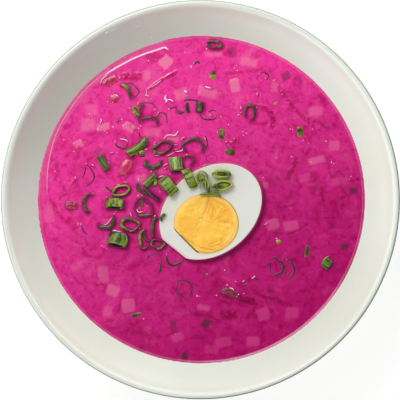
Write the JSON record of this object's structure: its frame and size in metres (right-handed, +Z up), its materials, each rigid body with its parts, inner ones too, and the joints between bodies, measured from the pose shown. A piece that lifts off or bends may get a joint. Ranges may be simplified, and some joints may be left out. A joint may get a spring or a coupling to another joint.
{
  "type": "beet soup in a bowl",
  "caption": "Cold pink beet soup with boiled egg, spring onion and beet pieces, filling a round glazed bowl to below its rim.",
  "frame": {"origin": "middle of the underside of the foot ring, on the surface the bowl stands on", "axes": "+Z up; the egg lies a little to +X and -Y of the middle, and most of the spring onion to its -X side"},
  "size_m": [0.2, 0.2, 0.062],
  "materials": {
    "glaze": "glossy off-white glaze",
    "soup": "wet, creamy, opaque magenta",
    "egg_white": "moist, slightly bluish white",
    "egg_yolk": "crumbly, golden",
    "spring_onion": "wet leaf, fine stripes",
    "beet": "wet, crimson"
  },
  "bodies": {
    "root": {"beet_01": "beet", "beet_02": "beet", "beet_03": "beet", "beet_04": "beet", "beet_05": "beet", "bowl": "glaze", "egg_white": "egg_white", "egg_yolk": "egg_yolk", "onion_ring_01": "spring_onion", "onion_ring_02": "spring_onion", "onion_ring_03": "spring_onion", "onion_ring_04": "spring_onion", "onion_ring_05": "spring_onion", "onion_ring_06": "spring_onion", "onion_ring_07": "spring_onion", "onion_ring_08": "spring_onion", "onion_ring_09": "spring_onion", "onion_ring_10": "spring_onion", "onion_ring_11": "spring_onion", "onion_ring_12": "spring_onion", "onion_ring_13": "spring_onion", "onion_ring_14": "spring_onion", "onion_ring_15": "spring_onion", "onion_ring_16": "spring_onion", "onion_tube_01": "spring_onion", "onion_tube_02": "spring_onion", "onion_tube_03": "spring_onion", "onion_tube_04": "spring_onion", "onion_tube_05": "spring_onion", "onion_tube_06": "spring_onion", "onion_tube_07": "spring_onion", "onion_tube_08": "spring_onion", "onion_tube_09": "spring_onion", "onion_tube_10": "spring_onion", "onion_tube_11": "spring_onion", "onion_tube_12": "spring_onion", "onion_tube_13": "spring_onion", "onion_tube_14": "spring_onion", "onion_tube_15": "spring_onion", "soup": "soup"}
  },
  "joints": []
}
